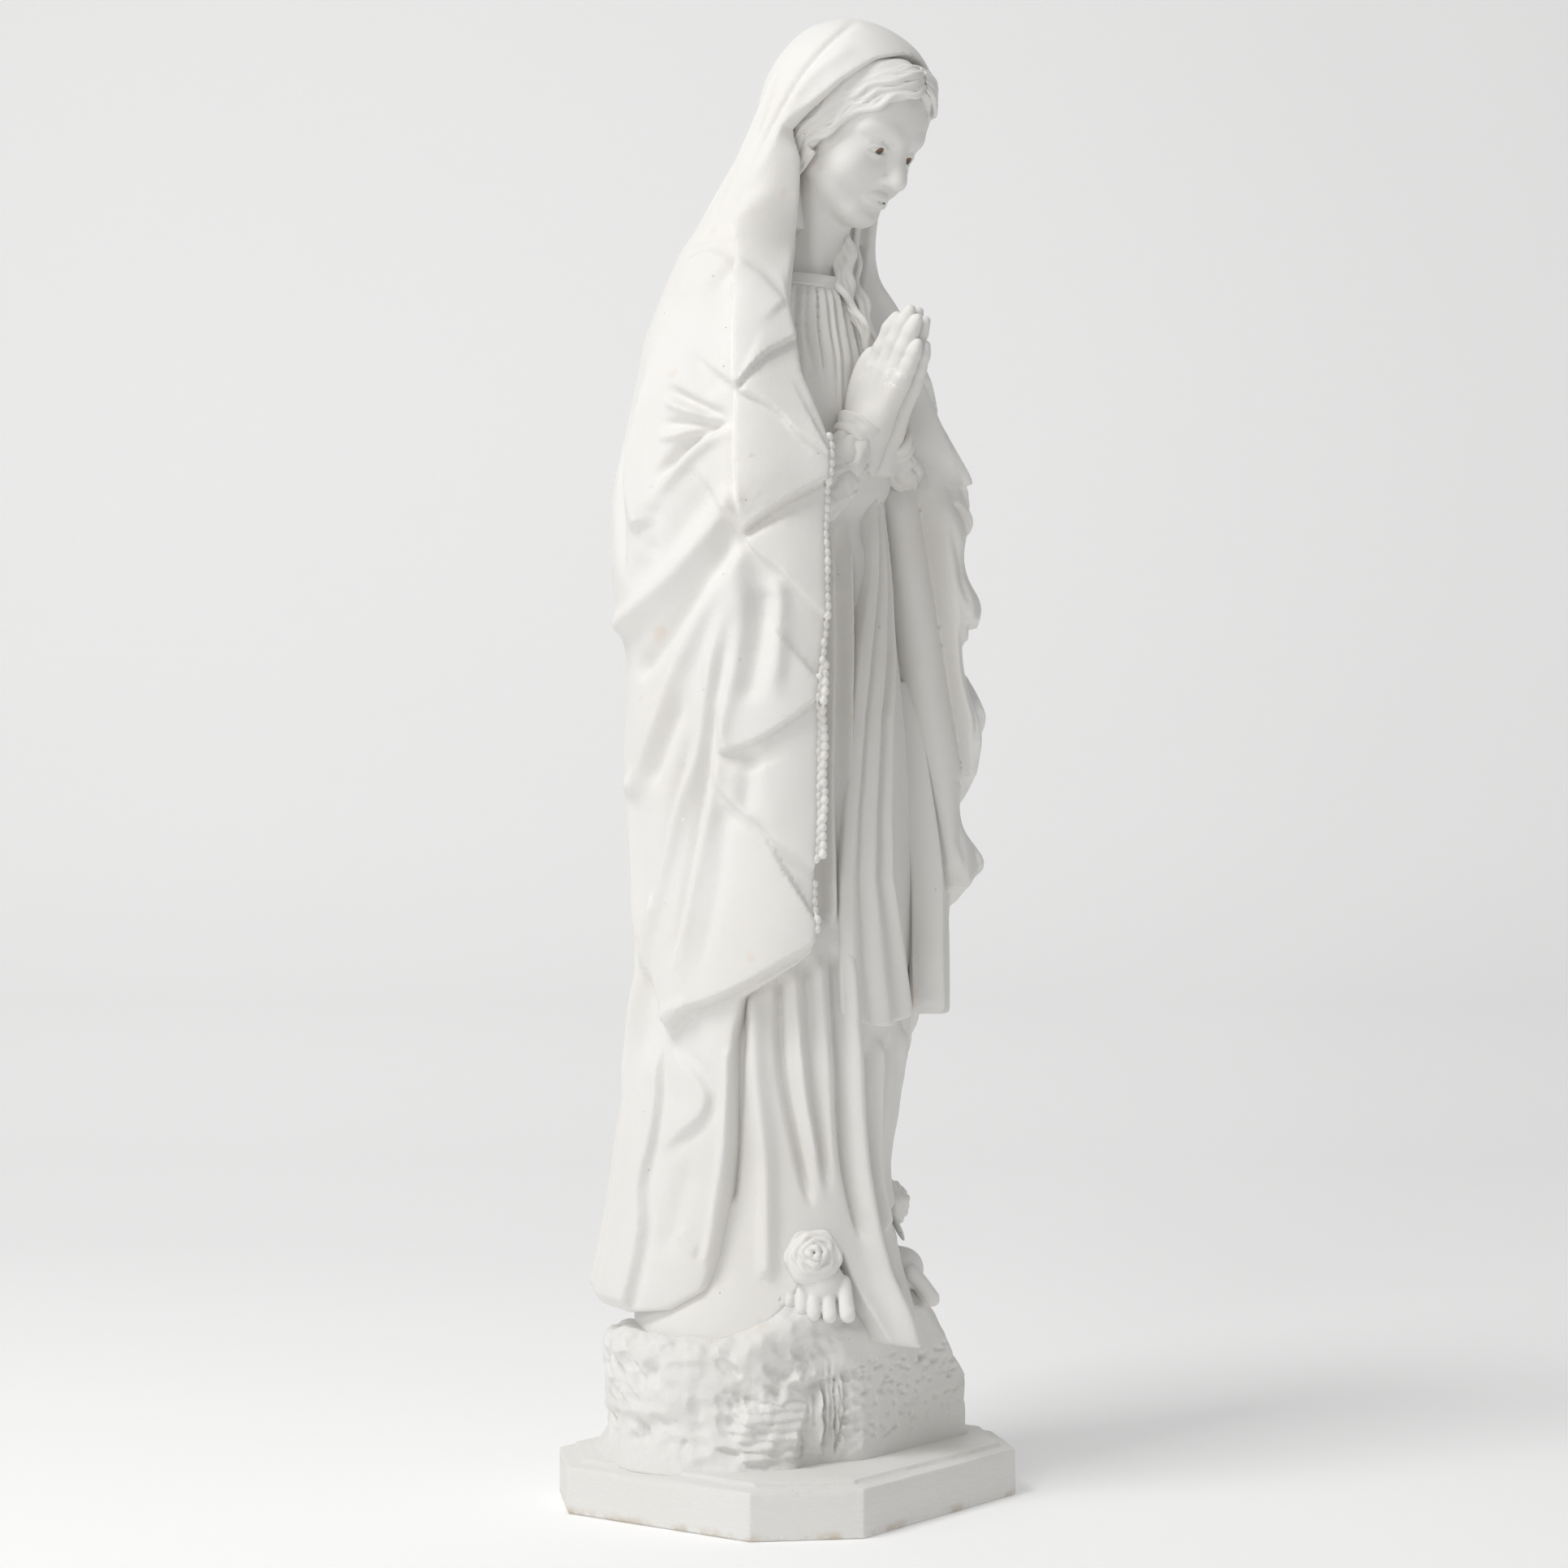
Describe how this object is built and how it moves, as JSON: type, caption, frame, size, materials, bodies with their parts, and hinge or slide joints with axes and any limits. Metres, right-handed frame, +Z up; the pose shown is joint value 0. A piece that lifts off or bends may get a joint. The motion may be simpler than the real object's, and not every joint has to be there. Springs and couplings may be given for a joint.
{
  "type": "madonna statue",
  "caption": "Free-standing praying Madonna figure in cast plaster, with joined hands, hooded mantle and long gown, on a rock and a chamfered plinth.",
  "frame": {"origin": "centre of the plinth's underside", "axes": "+Z up the figure, -Y the way she faces, +X her left"},
  "size_m": [0.28, 0.252, 1.0045],
  "materials": {
    "drapery_plaster": "matte cast plaster with pinholes",
    "skin_plaster": "smooth matte cast plaster",
    "rock_plaster": "matte chiselled plaster",
    "plinth_plaster": "matte scraped plaster",
    "eye_glass": "glossy dark glass eye",
    "steel": "plain"
  },
  "bodies": {
    "root": {"plinth": "plinth_plaster", "rock": "rock_plaster", "armature_rod": "steel", "gown_skirt": "drapery_plaster", "gown_front_fold": "drapery_plaster", "bodice": "drapery_plaster", "collar": "drapery_plaster", "mantle": "drapery_plaster", "mantle_cascade_right": "drapery_plaster", "mantle_cascade_left": "drapery_plaster", "veil_hood": "drapery_plaster", "veil_panel_right": "drapery_plaster", "veil_panel_left": "drapery_plaster", "head": "skin_plaster", "eye_right": "eye_glass", "eye_left": "eye_glass", "hair_right": "skin_plaster", "hair_left": "skin_plaster", "hair_lock": "skin_plaster", "hand_right": "skin_plaster", "hand_left": "skin_plaster", "wrist_pin_right": "steel", "wrist_pin_left": "steel", "cuff_right": "drapery_plaster", "cuff_left": "drapery_plaster", "sleeve_right": "drapery_plaster", "sleeve_left": "drapery_plaster", "sash_band": "drapery_plaster", "sash_tail_straight": "drapery_plaster", "sash_tail_side": "drapery_plaster", "rosary_beads": "drapery_plaster", "foot_right": "skin_plaster", "foot_left": "skin_plaster", "rose_right": "drapery_plaster", "rose_left": "drapery_plaster"}
  },
  "joints": []
}
